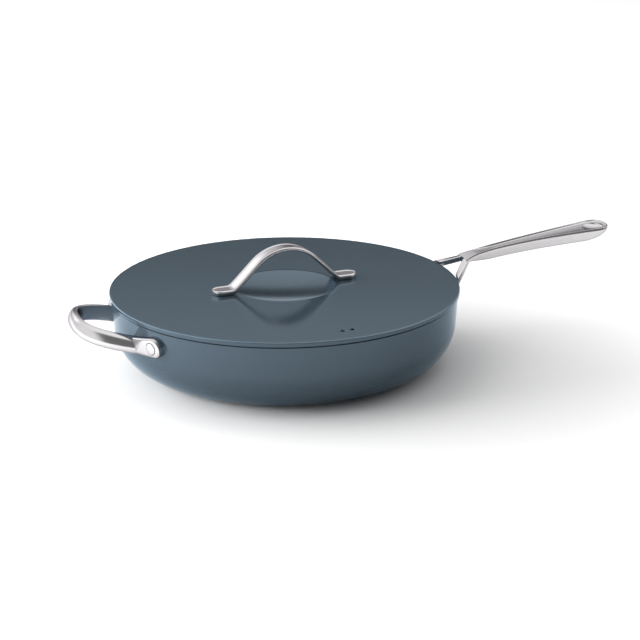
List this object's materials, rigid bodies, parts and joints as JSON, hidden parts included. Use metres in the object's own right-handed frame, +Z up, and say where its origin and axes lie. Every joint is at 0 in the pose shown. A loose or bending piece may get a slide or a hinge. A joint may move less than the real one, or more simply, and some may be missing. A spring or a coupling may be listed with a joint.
{
  "type": "deep saute pan with lid",
  "caption": "Deep round saute pan with a flared wall, a forked long handle, a looped helper handle and a flat lift-off lid with an arched strap handle and steam vents.",
  "frame": {"origin": "on the pan's axis, on the flat underside that stands on the stove", "axes": "+X from the axis along the long handle, +Z up along the axis, the way the lid lifts"},
  "size_m": [0.5079, 0.31, 0.1047],
  "materials": {
    "slate_coating": "slate blue-grey hard coat, semi-gloss",
    "cast_steel": "cast stainless steel, polished to a soft shine",
    "plain_steel": "stainless steel, plain satin"
  },
  "bodies": {
    "pan": {"pan_body": "slate_coating", "base_disc": "plain_steel", "long_handle": "cast_steel", "long_handle_rivet_left": "cast_steel", "long_handle_rivet_right": "cast_steel", "helper_handle": "cast_steel", "helper_handle_rivet_left": "cast_steel", "helper_handle_rivet_right": "cast_steel"},
    "lid": {"lid": "slate_coating", "lid_handle": "cast_steel", "lid_handle_screw_left": "plain_steel", "lid_handle_screw_right": "plain_steel", "lid_handle_washer_left": "plain_steel", "lid_handle_washer_right": "plain_steel"}
  },
  "joints": [
    {"name": "lid_lift", "type": "slide", "parent": "pan", "child": "lid", "axis": [0, 0, 1], "range_m": [0, 0.12]}
  ]
}
